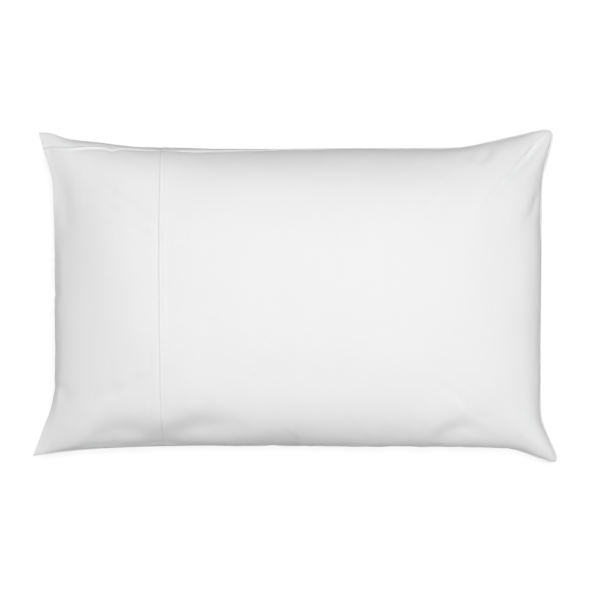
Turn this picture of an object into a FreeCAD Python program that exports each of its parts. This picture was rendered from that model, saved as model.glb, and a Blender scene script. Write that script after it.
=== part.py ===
"""Filled bed pillow: an open-ended pillowcase with a deep cuff, and the pillow inside it.

Units are millimetres.  The pillow lies on its back: +Z is up, +X runs from the open mouth of the
case towards its sewn end, and the origin is under the middle of the pillow on the resting surface.
Each cloth panel is a thin closed solid between two smooth surfaces.
"""
import FreeCAD, Part
import math
import os

from FreeCAD import Placement, Rotation, Vector

doc = FreeCAD.newDocument("bed_pillow")

# ---------------------------------------------------------------- driving dimensions
sheet = doc.addObject("Spreadsheet::Sheet", "Dimensions")
DIMENSIONS = (
    ("case_half_length", 347.0, "middle of the case to the middle of either short edge"),
    ("case_half_width", 210.0, "middle of the case to the middle of either long edge"),
    ("corner_reach_x", 27.0, "how far the corners stand out past the short edges"),
    ("corner_reach_y", 29.0, "how far the corners stand out past the long edges"),
    ("seam_height", 54.0, "side seams above the resting surface"),
    ("crown_rise", 86.0, "crown of the front above the side seams"),
    ("mouth_lip", 9.0, "half the gap between the two cuffs at the open mouth"),
    ("panel_cloth", 2.0, "wall of the front and back panels"),
    ("cuff_cloth", 2.6, "wall of the cuffs, which are cloth folded double"),
    ("cuff_joint_x", -187.0, "line where the cuffs are sewn to the panels"),
    ("flat_press", 2.5, "how far the round underside is pressed flat"),
    ("seam_allowance", 8.0, "turned-in cloth inside each seam"),
    ("seam_thickness", 1.6, "turned-in cloth, both layers and the overlock thread"),
    ("stitch_width", 1.2, "row of stitches"),
    ("stitch_height", 0.4, "thread standing on the cloth"),
    ("stitch_setback", 3.0, "row of stitches behind the edge it holds"),
    ("seam_clearance", 1.0, "turned-in cloth to the piping of the pillow"),
    ("piping_size", 4.0, "piping cord round the pillow inside"),
    ("insert_reach_x", 9.0, "corners of the pillow inside, past its short edges"),
    ("insert_reach_y", 9.0, "corners of the pillow inside, past its long edges"),
    ("mouth_pocket", 44.0, "mouth of the case to the piping of the pillow inside"),
    ("loft_clearance", 1.5, "case to pillow inside, at the crown"),
    ("ticking_cloth", 1.2, "wall of the ticking"),
    ("fill_clearance", 1.0, "ticking to fibre filling"),
    ("label_width", 26.0, "blank woven label, along the seam it is sewn into"),
    ("label_drop", 24.0, "blank woven label, out from the seam"),
    ("label_cloth", 0.6, "blank woven label, folded once"),
    ("label_offset", 70.0, "label of the pillow inside, off the middle of its end"),
    ("label_setback", 6.0, "label of the case, towards the corner from the middle of each edge"),
    ("floor_block", 900.0, "side of the block that presses the underside flat"),
    ("floor_depth", 40.0, "depth of that block"),
)
for row, (alias, value, meaning) in enumerate(DIMENSIONS, start=1):
    sheet.set(f"A{row}", alias)
    sheet.set(f"B{row}", str(value))
    sheet.set(f"C{row}", meaning)
    sheet.setAlias(f"B{row}", alias)
doc.recompute()


def size(alias):
    """One driving dimension, in millimetres."""
    return float(sheet.get(alias))


# ---------------------------------------------------------------- the pillow's form
FULLNESS = 2.6          # higher keeps the crown level further out
SHOULDER = 0.6          # lower makes the sides stand steeper at the seams
FLARE_X = 6             # how late the short edges turn out into the corners
FLARE_Y = 5             # how late the long edges turn out into the corners
LIP_REACH = 6           # how late the closing mouth begins
SAMPLES_ALONG = 19      # points along the length of one panel
SAMPLES_ACROSS = 27     # points across the width


def swell(s):
    """Share of the full height left at s, from 1 in the middle to 0 at a seam (s = -1 or 1)."""
    return max(0.0, 1.0 - abs(s) ** FULLNESS) ** SHOULDER


class Form:
    """A pillow-shaped surface over u, along the length, and v, across it, both from -1 to 1.

    x = centre + u * (length + reach_x * |v| ** FLARE_X)
    y = v * (width + reach_y * |u| ** FLARE_Y)
    The front stands above the seam plane by the swell of u times the swell of v, times the rise.
    The back hangs below it by 1 - (1 - that) ** 2, times the drop, which levels it underneath.
    """

    def __init__(self, centre, length, width, reach_x, reach_y, rise, drop, lip):
        self.centre = centre
        self.length = length
        self.width = width
        self.reach_x = reach_x
        self.reach_y = reach_y
        self.rise = rise
        self.drop = drop
        self.lip = lip

    def half_length(self, v):
        return self.length + self.reach_x * abs(v) ** FLARE_X

    def half_width(self, u):
        return self.width + self.reach_y * abs(u) ** FLARE_Y

    def u_at(self, x, v):
        """The u of a given x on the line of one v."""
        return (x - self.centre) / self.half_length(v)

    def profile(self, u, lip_share):
        """Swell along the length, which ends at the lip instead of at 0 where a mouth is open."""
        open_end = max(0.0, -u) ** LIP_REACH if self.lip else 0.0
        return swell(u) * (1.0 - open_end) + lip_share * open_end

    def front(self, u, v, lift=0.0):
        share = swell(v) * self.profile(u, self.lip / self.rise)
        return self.place(u, v, size("seam_height") + self.rise * share + lift)

    def back(self, u, v, lift=0.0):
        share = swell(v) * self.profile(u, self.lip / (2.0 * self.drop))
        sunk = 1.0 - (1.0 - share) ** 2
        return self.place(u, v, size("seam_height") - self.drop * sunk + lift)

    def place(self, u, v, z):
        return Vector(self.centre + u * self.half_length(v), v * self.half_width(u), z)

    def within(self, wall, open_mouth=False):
        """The same form a wall's thickness further in, still reaching the mouth if it has one."""
        kept = 0.5 * wall if open_mouth else 0.0
        lip = self.lip - wall if open_mouth else 0.0
        return Form(
            self.centre - kept,
            self.length - wall + kept,
            self.width - wall,
            self.reach_x,
            self.reach_y,
            self.rise - wall,
            self.drop - wall,
            lip,
        )


def spread(low, high, count):
    """Values of u or v from low to high, closer together towards -1 and 1, where the form is steep."""
    start, stop = math.asin(low), math.asin(high)
    step = (stop - start) / (count - 1)
    inner = [math.sin(start + n * step) for n in range(1, count - 1)]
    return [low] + inner + [high]


def smooth(points):
    """One smooth curve through points."""
    curve = Part.BSplineCurve()
    curve.interpolate(points)
    return curve.toShape()


def surface(points):
    """One smooth surface through a grid of points."""
    patch = Part.BSplineSurface()
    patch.interpolate(points)
    return patch


def border(patch):
    """The four edges of a smooth surface."""
    u_low, u_high, v_low, v_high = patch.bounds()
    curves = (patch.uIso(u_low), patch.uIso(u_high), patch.vIso(v_low), patch.vIso(v_high))
    return [curve.toShape() for curve in curves]


def slab(outer, inner):
    """Closed solid between two grids of points, with a ruled face along each of its four sides."""
    outside = surface(outer)
    inside = surface(inner)
    faces = [outside.toShape(), inside.toShape()]
    for one, other in zip(border(outside), border(inside)):
        faces.append(Part.makeRuledSurface(one, other))
    shell = Part.makeShell(faces)
    shell.sewShape()
    solid = Part.makeSolid(shell)
    if solid.Volume < 0:
        solid.reverse()
    return solid


def grid(form, side, x_low, x_high, v_limit=1.0, lift=0.0, along=SAMPLES_ALONG):
    """Points of one side of a form; x_low or x_high of None runs to that end of the form."""
    points = []
    for v in spread(-v_limit, v_limit, SAMPLES_ACROSS):
        u_low = -1.0 if x_low is None else form.u_at(x_low, v)
        u_high = 1.0 if x_high is None else form.u_at(x_high, v)
        draw = form.front if side == "front" else form.back
        points.append([draw(u, v, lift) for u in spread(u_low, u_high, along)])
    return points


def add(name, shape):
    """A sub-part whose shape is worked out above, as an object of the document."""
    feature = doc.addObject("Part::Feature", name)
    feature.Label = name
    feature.Shape = shape
    feature.Placement = Placement(Vector(0, 0, 0), Rotation())
    return feature


case_form = Form(
    0.0,
    size("case_half_length"),
    size("case_half_width"),
    size("corner_reach_x"),
    size("corner_reach_y"),
    size("crown_rise"),
    size("seam_height"),
    size("mouth_lip"),
)
pressed_form = Form(
    0.0,
    size("case_half_length"),
    size("case_half_width"),
    size("corner_reach_x"),
    size("corner_reach_y"),
    size("crown_rise"),
    size("seam_height") + size("flat_press"),
    size("mouth_lip"),
)
panel_lining = case_form.within(size("panel_cloth"), open_mouth=True)
cuff_lining = case_form.within(size("cuff_cloth"), open_mouth=True)
joint_x = size("cuff_joint_x")

# ---------------------------------------------------------------- floor that presses the back flat
floor = doc.addObject("Part::Box", "floor_block")
floor.setExpression("Length", "Dimensions.floor_block")
floor.setExpression("Width", "Dimensions.floor_block")
floor.setExpression("Height", "Dimensions.floor_depth")
floor.setExpression("Placement.Base.x", "-Dimensions.floor_block / 2")
floor.setExpression("Placement.Base.y", "-Dimensions.floor_block / 2")
floor.setExpression("Placement.Base.z", "-Dimensions.floor_depth")


def pressed(name, shape):
    """A cloth panel of the back, cut level where it lies on the floor."""
    round_back = add(name + "_round", shape)
    cut = doc.addObject("Part::Cut", name)
    cut.Label = name
    cut.Base = round_back
    cut.Tool = floor
    return cut


subparts = []

# ---------------------------------------------------------------- case: front and back panels
front_panel = slab(
    grid(case_form, "front", joint_x, None),
    grid(panel_lining, "front", joint_x, None),
)
subparts.append(add("case_front_panel", front_panel))

back_panel = slab(
    grid(pressed_form, "back", joint_x, None),
    grid(panel_lining, "back", joint_x, None),
)
subparts.append(pressed("case_back_panel", back_panel))

# ---------------------------------------------------------------- case: cuffs, cloth folded double
cuff_front = slab(
    grid(case_form, "front", None, joint_x),
    grid(cuff_lining, "front", None, joint_x),
)
subparts.append(add("cuff_front", cuff_front))

cuff_back = slab(
    grid(pressed_form, "back", None, joint_x),
    grid(cuff_lining, "back", None, joint_x),
)
subparts.append(pressed("cuff_back", cuff_back))

# ---------------------------------------------------------------- case: topstitching at the cuff joints
STITCH_REACH = 0.93     # share of the width that the row of stitches crosses
STITCH_SAMPLES = 4      # points over the width of the row
stitch_low = joint_x + size("stitch_setback")
stitch_high = stitch_low + size("stitch_width")


def stitch_row(form, side, x_low, x_high, reach, from_cloth):
    """A raised row of thread that follows a panel across the pillow."""
    top = grid(form, side, x_low, x_high, reach, from_cloth + size("stitch_height"), STITCH_SAMPLES)
    foot = grid(form, side, x_low, x_high, reach, from_cloth, STITCH_SAMPLES)
    return slab(top, foot)


THREAD_GAP = 0.05       # thread to the cloth that it lies on
subparts.append(
    add(
        "cuff_topstitch_front",
        stitch_row(case_form, "front", stitch_low, stitch_high, STITCH_REACH, THREAD_GAP),
    )
)
subparts.append(
    add(
        "cuff_topstitch_back",
        stitch_row(panel_lining, "back", stitch_low, stitch_high, STITCH_REACH, THREAD_GAP),
    )
)

# ---------------------------------------------------------------- case: turned-in seams
OUTLINE_SAMPLES = 21    # points along one edge of an outline


def long_edge(form, side, reach, inset):
    """Curve beside a long edge of a form, inset from it; side is 1 or -1, reach its share of u."""
    points = []
    for u in spread(-reach, reach, OUTLINE_SAMPLES):
        x = form.centre + u * form.half_length(1.0)
        points.append(Vector(x, side * (form.half_width(u) - inset), 0.0))
    return points


def short_edge(form, end, reach, inset):
    """Curve beside a short edge of a form, inset from it; end is 1 or -1."""
    points = []
    for v in spread(-reach, reach, OUTLINE_SAMPLES):
        x = form.centre + end * (form.half_length(v) - inset)
        points.append(Vector(x, v * form.half_width(1.0), 0.0))
    return points


def strip(edge, other, thickness):
    """Flat strip between two curves, half its thickness each side of the seam plane."""
    ends = [Part.makeLine(edge[n], other[n]) for n in (0, -1)]
    around = Part.Wire(Part.__sortEdges__([smooth(edge), ends[1], smooth(other), ends[0]]))
    face = Part.Face(around)
    face.translate(Vector(0, 0, size("seam_height") - 0.5 * thickness))
    return face.extrude(Vector(0, 0, thickness))


seam_start = size("cuff_cloth") + 0.5 * size("seam_clearance")
seam_end = seam_start + size("seam_allowance")
SIDE_SEAM_REACH = 0.93  # share of the long edges that their turned-in cloth runs along
SEAM_END_REACH = 0.9    # share of the short edge that the end seam's turned-in cloth runs along
for name, side in (("side_seam_upper", 1), ("side_seam_lower", -1)):
    outer_line = long_edge(case_form, side, SIDE_SEAM_REACH, seam_start)
    inner_line = long_edge(case_form, side, SIDE_SEAM_REACH, seam_end)
    subparts.append(add(name, strip(outer_line, inner_line, size("seam_thickness"))))

end_outer = short_edge(case_form, 1, SEAM_END_REACH, seam_start)
end_inner = short_edge(case_form, 1, SEAM_END_REACH, seam_end)
subparts.append(add("end_seam", strip(end_outer, end_inner, size("seam_thickness"))))

# ---------------------------------------------------------------- pillow inside: ticking, piping, filling
edge_gap = seam_end + size("seam_clearance") + size("piping_size")
insert_high = size("case_half_length") - edge_gap
insert_low = -size("case_half_length") + size("mouth_pocket") + size("piping_size")
insert_form = Form(
    0.5 * (insert_high + insert_low),
    0.5 * (insert_high - insert_low),
    size("case_half_width") - edge_gap,
    size("insert_reach_x"),
    size("insert_reach_y"),
    size("crown_rise") - size("panel_cloth") - size("loft_clearance"),
    size("seam_height") - size("panel_cloth") - size("loft_clearance"),
    0.0,
)
ticking_lining = insert_form.within(size("ticking_cloth"))
fill_form = ticking_lining.within(size("fill_clearance"))

FILL_EDGE = 0.4         # half the height of the filling's edge at the seam
for name, side in (("ticking_top", "front"), ("ticking_bottom", "back")):
    cloth = slab(grid(insert_form, side, None, None), grid(ticking_lining, side, None, None))
    subparts.append(add(name, cloth))


def outline(form, grow):
    """Closed line round a form in the seam plane, grown outwards, of four smooth curves."""
    half_width = form.half_width(1.0) + grow
    corner_x = form.half_length(1.0) + grow
    curves = []
    for side in (1, -1):
        points = []
        for u in spread(-1.0, 1.0, OUTLINE_SAMPLES):
            y = side * (form.half_width(u) + grow)
            points.append(Vector(form.centre + u * corner_x, y, 0.0))
        curves.append(points)
    for end in (1, -1):
        points = []
        for v in spread(-1.0, 1.0, OUTLINE_SAMPLES):
            x = form.centre + end * (form.half_length(v) + grow)
            points.append(Vector(x, v * half_width, 0.0))
        curves.append(points)
    return Part.Wire(Part.__sortEdges__([smooth(points) for points in curves]))


piping_size = size("piping_size")
piping_face = Part.makeFace(
    [outline(insert_form, piping_size), outline(insert_form, THREAD_GAP)],
    "Part::FaceMakerBullseye",
)
piping_face.translate(Vector(0, 0, size("seam_height") - 0.5 * piping_size))
subparts.append(add("edge_piping", piping_face.extrude(Vector(0, 0, piping_size))))

fill = slab(
    grid(fill_form, "front", None, None, lift=FILL_EDGE),
    grid(fill_form, "back", None, None, lift=-FILL_EDGE),
)
subparts.append(add("fibre_fill", fill))

CLOSING_REACH = 0.35    # share of the end that was left open for filling
closing_low = insert_low + size("stitch_setback")
closing_high = closing_low + size("stitch_width")
closing = stitch_row(insert_form, "front", closing_low, closing_high, CLOSING_REACH, THREAD_GAP)
subparts.append(add("closing_stitch", closing))


# ---------------------------------------------------------------- blank woven labels
def label(name, x_expression, y_expression):
    """A plain folded label that lies in the seam plane."""
    tag = doc.addObject("Part::Box", name)
    tag.Label = name
    tag.setExpression("Length", "Dimensions.label_drop")
    tag.setExpression("Width", "Dimensions.label_width")
    tag.setExpression("Height", "Dimensions.label_cloth")
    tag.setExpression("Placement.Base.x", x_expression)
    tag.setExpression("Placement.Base.y", y_expression)
    tag.setExpression("Placement.Base.z", "Dimensions.seam_height - Dimensions.label_cloth / 2")
    return tag


insert_label = label(
    "insert_label",
    "-Dimensions.case_half_length + Dimensions.mouth_pocket"
    " - Dimensions.label_drop - Dimensions.seam_clearance",
    "Dimensions.label_offset",
)
subparts.append(insert_label)
case_label = label(
    "case_label",
    "-Dimensions.case_half_length - Dimensions.label_setback",
    "-Dimensions.case_half_width - Dimensions.label_setback / 3",
)
case_label.setExpression("Length", "Dimensions.label_width")
case_label.setExpression("Width", "Dimensions.label_drop")
subparts.append(case_label)

# ---------------------------------------------------------------- check and write
doc.recompute()
for item in doc.Objects:
    if "Invalid" in item.State or "Error" in item.State:
        raise RuntimeError(f"{item.Name} failed: {item.State}")
os.makedirs("parts", exist_ok=True)
for subpart in subparts:
    shape = subpart.Shape
    if shape.isNull() or not shape.isValid():
        raise RuntimeError(f"{subpart.Label} has no valid shape")
    if not shape.Solids:
        raise RuntimeError(f"{subpart.Label} is not a solid")
    shape.exportStep(os.path.join("parts", subpart.Label + ".step"))
    box = shape.BoundBox
    print(
        f"{subpart.Label:22s} {len(shape.Solids)} solid, {shape.Volume / 1000.0:9.1f} cm3,"
        f" x {box.XMin:7.1f} {box.XMax:7.1f}, y {box.YMin:7.1f} {box.YMax:7.1f},"
        f" z {box.ZMin:6.2f} {box.ZMax:6.2f}"
    )
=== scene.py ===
import math

import bpy
import numpy as np
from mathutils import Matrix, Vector


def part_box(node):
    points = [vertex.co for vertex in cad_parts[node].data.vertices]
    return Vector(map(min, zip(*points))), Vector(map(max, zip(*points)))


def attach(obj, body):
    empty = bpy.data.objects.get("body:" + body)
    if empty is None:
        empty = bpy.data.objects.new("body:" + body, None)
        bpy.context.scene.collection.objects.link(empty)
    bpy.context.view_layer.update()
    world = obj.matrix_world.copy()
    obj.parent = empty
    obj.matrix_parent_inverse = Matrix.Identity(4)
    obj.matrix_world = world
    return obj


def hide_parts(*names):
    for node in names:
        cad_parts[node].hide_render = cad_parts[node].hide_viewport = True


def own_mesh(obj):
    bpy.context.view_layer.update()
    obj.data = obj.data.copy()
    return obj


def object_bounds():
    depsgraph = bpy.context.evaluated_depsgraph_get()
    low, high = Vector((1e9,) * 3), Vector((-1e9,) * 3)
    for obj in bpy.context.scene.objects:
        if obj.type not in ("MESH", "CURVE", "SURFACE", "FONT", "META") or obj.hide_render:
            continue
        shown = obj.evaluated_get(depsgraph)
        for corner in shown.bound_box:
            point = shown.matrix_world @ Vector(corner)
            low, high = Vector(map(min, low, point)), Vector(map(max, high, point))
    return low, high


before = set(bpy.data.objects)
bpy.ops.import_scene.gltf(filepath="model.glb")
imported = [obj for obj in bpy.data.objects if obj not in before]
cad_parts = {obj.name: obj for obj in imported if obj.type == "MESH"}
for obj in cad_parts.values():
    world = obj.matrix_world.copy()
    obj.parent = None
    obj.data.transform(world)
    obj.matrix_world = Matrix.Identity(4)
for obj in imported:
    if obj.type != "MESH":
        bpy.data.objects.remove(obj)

cad_low, cad_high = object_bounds()


# ------------------------ camera, light and floor
# The pillow lies on its back on a pale floor and is seen square on to its front, from just past
# its upper long edge.  Broad soft lights hang above it and stand low at both ends.  The floor and
# its far low walls look brighter than the light that they throw back on the pillow.
CAMERA_DISTANCE = 2.6
CAMERA_TILT = math.radians(4.0)
VIEW_CENTRE = Vector((0.0087, -0.0063, 0.07))
FRAME_WIDTH = 0.8565
SENSOR = 36.0

camera_data = bpy.data.cameras.new("camera")
camera_data.sensor_width = SENSOR
camera_data.lens = SENSOR * CAMERA_DISTANCE / FRAME_WIDTH
camera = bpy.data.objects.new("camera", camera_data)
bpy.context.scene.collection.objects.link(camera)
reach = Vector((0.0, math.sin(CAMERA_TILT), math.cos(CAMERA_TILT)))
camera.location = VIEW_CENTRE + reach * CAMERA_DISTANCE
camera.rotation_euler = (-CAMERA_TILT, 0.0, 0.0)
bpy.context.scene.camera = camera
bpy.context.scene.view_settings.view_transform = "Standard"


def soft_light(name, place, width, power):
    """A square area light at place, turned to face the middle of the floor."""
    data = bpy.data.lights.new(name, "AREA")
    data.shape = "SQUARE"
    data.size = width
    data.energy = power
    light = bpy.data.objects.new(name, data)
    light.location = place
    turn = (Vector() - Vector(place)).to_track_quat("-Z", "Y")
    light.rotation_euler = turn.to_euler()
    bpy.context.scene.collection.objects.link(light)


for softbox in (
    ("overhead_softbox", (0.0, 0.45, 3.2), 1.6, 68.0),
    ("upper_softbox", (0.0, 1.6, 2.6), 1.4, 15.0),
    ("lower_softbox", (0.9, -1.8, 1.8), 1.4, 14.0),
    ("left_softbox", (-2.2, 0.1, 0.7), 1.2, 4.6),
    ("right_softbox", (2.2, 0.1, 0.7), 1.2, 4.8),
):
    soft_light(*softbox)
world = bpy.data.worlds.new("room")
world.use_nodes = True
world.node_tree.nodes["Background"].inputs["Color"].default_value = (1.0, 1.0, 1.0, 1.0)
world.node_tree.nodes["Background"].inputs["Strength"].default_value = 0.06
bpy.context.scene.world = world

floor_mesh = bpy.data.meshes.new("floor")
HALF_FLOOR = 30.0
FLOOR_GLOW = 0.65
WALL_HEIGHT = 9.0
CORNER_SIGNS = ((-1, -1), (1, -1), (1, 1), (-1, 1))
floor_corners = [
    (x * HALF_FLOOR, y * HALF_FLOOR, z) for z in (0.0, WALL_HEIGHT) for x, y in CORNER_SIGNS
]
walls = [(k, (k + 1) % 4, (k + 1) % 4 + 4, k + 4) for k in range(4)]
floor_mesh.from_pydata(floor_corners, [], [(0, 1, 2, 3), *walls])
floor_paint = bpy.data.materials.new("floor_paint")
floor_paint.use_nodes = True
floor_shader = floor_paint.node_tree.nodes["Principled BSDF"]
floor_shader.inputs["Base Color"].default_value = (0.48, 0.48, 0.48, 1.0)
floor_shader.inputs["Roughness"].default_value = 0.9
floor_shader.inputs["Emission Color"].default_value = (1.0, 1.0, 1.0, 1.0)
floor_rays = floor_paint.node_tree.nodes.new("ShaderNodeLightPath")
floor_glow = floor_paint.node_tree.nodes.new("ShaderNodeMath")
floor_glow.operation = "MULTIPLY"
floor_glow.inputs[1].default_value = FLOOR_GLOW
floor_paint.node_tree.links.new(floor_rays.outputs["Is Camera Ray"], floor_glow.inputs[0])
floor_paint.node_tree.links.new(floor_glow.outputs[0], floor_shader.inputs["Emission Strength"])
floor_mesh.materials.append(floor_paint)
floor = bpy.data.objects.new("floor", floor_mesh)
bpy.context.scene.collection.objects.link(floor)


# ------------------------ case: form of the filled cloth
# One tube of white cotton, sewn along both long edges and at one end and left open at the other.
# It is cut flat, 758 x 497 mm, and takes this form from the soft pillow pushed into it.
MILLIMETRE = 0.001
FLOOR_TOUCH = 0.0004


def swell(s):
    """Height left at s: the root of 1 - |s| ** 2.8, full in the middle and upright at the ends."""
    return np.sqrt(np.maximum(0.0, 1.0 - np.abs(s) ** 2.8))


def flare(s, before, after, sharp_before, sharp_after):
    """How far an edge turns out at its corners: amount * |s| ** sharpness, unlike at each end."""
    return np.where(s < 0, before * np.abs(s) ** sharp_before, after * np.abs(s) ** sharp_after)


def hinge(s, knee):
    """0 up to the knee and then straight up to 1 at |s| = 1, rounded where it turns."""
    past = np.abs(s) - knee
    return 0.5 * (past + np.sqrt(past**2 + 0.0025)) / (1.0 - knee)


CORNER_ROUNDING = 0.0055


def case_edges(u, v):
    """The four edges of the case: x of the mouth and the sewn end at v, y of the long edges at u.

    Each edge is nearly straight in the middle and turns out into square ears at the corners.
    The corners of the sewn end are rounded off; those of the mouth are cut square.
    """
    mouth_x = -0.343 - np.where(v < 0, 0.0345 * hinge(v, 0.63), 0.022 * hinge(v, 0.72))
    sewn_x = 0.354 + np.where(v < 0, 0.031 * hinge(v, 0.74), 0.020 * hinge(v, 0.72))
    upper_ear = 0.0215 * np.abs(u) ** 3.6 + 0.005 * np.exp(-(((u + 0.95) / 0.05) ** 2))
    upper_y = 0.209 + np.where(u < 0, upper_ear, 0.0300 * hinge(u, 0.65))
    lower_y = -0.2190 - np.where(u < 0, 0.0155 * np.abs(u) ** 5, 0.0285 * hinge(u, 0.84))
    sewn_x = sewn_x - CORNER_ROUNDING * np.abs(v) ** 40
    rounding = CORNER_ROUNDING * np.maximum(0.0, u) ** 60
    return mouth_x, sewn_x, upper_y - rounding, lower_y + rounding


def pillow_point(u, v, front, edges, seam_height, rise, drop, lip, rest):
    """Point of a pillow form: u along it and v across it, from -1 to 1, on its front or back.

    x and y run between the four edges.  The front stands swell(u) * swell(v) * rise above the
    seams, and the back hangs 1 - (1 - that share) ** 2 of its drop below them, pressed level by
    what it rests on.  Where the end at u = -1 is open, the height runs out to the lip and not to 0.
    """
    low_x, high_x, high_y, low_y = edges(u, v)
    x = low_x + (high_x - low_x) * 0.5 * (1.0 + u)
    y = np.abs(v) * np.where(v > 0, high_y, low_y)
    mouth = np.maximum(0.0, -u) ** 10 if lip else 0.0
    share = swell(v) * (swell(u) * (1.0 - mouth) + mouth * lip / rise)
    seam = seam_height - 0.012 * (np.abs(u) * np.abs(v)) ** 6
    above = seam + rise * share
    below = np.maximum(rest, seam - drop * (1.0 - (1.0 - share) ** 2))
    return np.stack([x, y, np.where(front, above, below)], axis=-1)


def running_length(points):
    """Length along a line of points, from 0 at the first."""
    return np.concatenate([[0.0], np.cumsum(np.linalg.norm(np.diff(points, axis=0), axis=1))])


def even_steps(curve, count):
    """count values in -1..1 that space points evenly along curve(value)."""
    fine = np.sin(np.linspace(-0.5 * np.pi, 0.5 * np.pi, 801))
    length = running_length(curve(fine))
    return np.interp(np.linspace(0.0, length[-1], count), length, fine)


def form_grids(rows, columns, *form):
    """Front and back grids of a pillow form, evenly spaced along its two middle lines."""
    across = even_steps(lambda s: pillow_point(np.zeros_like(s), s, True, *form), rows)
    along = even_steps(lambda s: pillow_point(s, np.zeros_like(s), True, *form), columns)
    u, v = np.meshgrid(along, across)
    return pillow_point(u, v, True, *form), pillow_point(u, v, False, *form)


def quads(numbers, flip=False):
    """Four-sided faces of a grid of vertex numbers, turned over where flip is true."""
    a, b = numbers[:-1, :-1], numbers[:-1, 1:]
    c, d = numbers[1:, 1:], numbers[1:, :-1]
    order = (a, d, c, b) if flip else (a, b, c, d)
    return np.stack(order, axis=-1).reshape(-1, 4)


def mesh_object(name, points, faces):
    """A smooth-shaded mesh object of four-sided faces."""
    mesh = bpy.data.meshes.new(name)
    points = np.ascontiguousarray(points, np.float32).reshape(-1, 3)
    faces = np.ascontiguousarray(faces, np.int32)
    mesh.vertices.add(len(points))
    mesh.vertices.foreach_set("co", points.ravel())
    mesh.loops.add(faces.size)
    mesh.loops.foreach_set("vertex_index", faces.ravel())
    mesh.polygons.add(len(faces))
    mesh.polygons.foreach_set("loop_start", np.arange(0, faces.size, 4, dtype=np.int32))
    mesh.update(calc_edges=True)
    mesh.shade_smooth()
    piece = bpy.data.objects.new(name, mesh)
    bpy.context.scene.collection.objects.link(piece)
    return piece


def settle(front, back, rest, flat, pressure, edge_hold, frames, cap):
    """Front and back grids after a short cloth simulation.

    The two grids are sewn along their long edges and at u = 1.  Their cloth is cut flat, to
    flat = (length, width), so it puckers where the filled form is shorter.  The corners and
    what lies at rest height are held, the edges by edge_hold, and no point moves beyond cap.
    """
    rows, columns = front.shape[:2]
    front_numbers = np.arange(rows * columns).reshape(rows, columns)
    back_numbers = front_numbers.copy()
    inner = (rows - 2) * (columns - 1)
    back_numbers[1:-1, :-1] = rows * columns + np.arange(inner).reshape(rows - 2, -1)
    points = np.zeros((rows * columns + inner, 3))
    pattern = np.zeros_like(points)
    along, across = np.meshgrid(np.linspace(-1, 1, columns), np.linspace(-1, 1, rows))
    cut_out = np.stack([along * flat[0] / 2, across * flat[1] / 2, 0.0 * along], axis=-1)
    hold = np.zeros(len(points))
    edge = (np.abs(along) == 1.0) | (np.abs(across) == 1.0)
    corner = (np.abs(along) > 0.95) & (np.abs(across) > 0.93)
    for numbers, form in ((back_numbers, back), (front_numbers, front)):
        points[numbers] = form
        pattern[numbers] = cut_out
        hold[numbers[edge]] = edge_hold
        hold[numbers[corner]] = 0.95
    hold[points[:, 2] <= rest] = 1.0
    faces = np.concatenate([quads(front_numbers), quads(back_numbers, flip=True)])
    piece = mesh_object("settling", points, faces)
    piece.shape_key_add(name="filled")
    cut = piece.shape_key_add(name="cut")
    cut.data.foreach_set("co", np.ascontiguousarray(pattern, np.float32).ravel())
    cut.value = 0.0
    group = piece.vertex_groups.new(name="held")
    for level in np.unique(hold[hold > 0]):
        group.add(np.flatnonzero(hold == level).tolist(), float(level), "REPLACE")
    modifier = piece.modifiers.new("cloth", "CLOTH")
    modifier.point_cache.frame_start = 1
    modifier.point_cache.frame_end = frames
    modifier.collision_settings.use_collision = False
    modifier.collision_settings.use_self_collision = False
    settings = modifier.settings
    settings.quality = 6
    settings.mass = 0.2
    settings.tension_stiffness = 20.0
    settings.compression_stiffness = 20.0
    settings.shear_stiffness = 4.0
    settings.bending_stiffness = 0.4
    settings.use_pressure = True
    settings.uniform_pressure_force = pressure
    settings.vertex_group_mass = "held"
    settings.pin_stiffness = 1.0
    settings.rest_shape_key = cut
    settings.effector_weights.gravity = 0.0
    for frame_number in range(1, frames + 1):
        bpy.context.scene.frame_set(frame_number)
    shaped = piece.evaluated_get(bpy.context.evaluated_depsgraph_get())
    moved = np.empty(len(points) * 3, np.float32)
    shaped.data.vertices.foreach_get("co", moved)
    bpy.context.scene.frame_set(1)
    bpy.data.objects.remove(piece)
    shift = moved.reshape(-1, 3).astype(float) - points
    length = np.linalg.norm(shift, axis=1, keepdims=True)
    settled = points + shift * np.minimum(1.0, cap / np.maximum(length, 1e-9))
    settled[:, 2] = np.maximum(settled[:, 2], rest)
    return settled[front_numbers], settled[back_numbers]


def keep_of_settling(form):
    """Share of the creases kept: few where the cloth was smoothed by hand, at three corners."""
    from_lower = np.hypot(form[..., 0] - cad_high[0], form[..., 1] - cad_low[1])
    from_upper = np.hypot(form[..., 0] - cad_high[0], form[..., 1] - cad_high[1])
    from_mouth = np.hypot(form[..., 0] - cad_low[0], form[..., 1] - cad_high[1])
    calm = 0.95 * np.exp(-((from_lower / 0.27) ** 2)) + 0.35 * np.exp(-((from_upper / 0.12) ** 2))
    calm = np.minimum(calm + 0.75 * np.exp(-((from_mouth / 0.20) ** 2)), 0.95)
    return (1.0 - calm)[..., None]


CASE_CUT = (0.758, 0.497)
CASE_FORM = (case_edges, 0.056, 0.084, 0.0585, 0.006, FLOOR_TOUCH)
case_front, case_back = form_grids(81, 125, *CASE_FORM)
settled = settle(case_front, case_back, FLOOR_TOUCH, CASE_CUT, 2.6, 0.2, 28, 0.025)
case_front, case_back = (
    form + keep_of_settling(form) * (cloth - form)
    for form, cloth in zip((case_front, case_back), settled)
)


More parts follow.
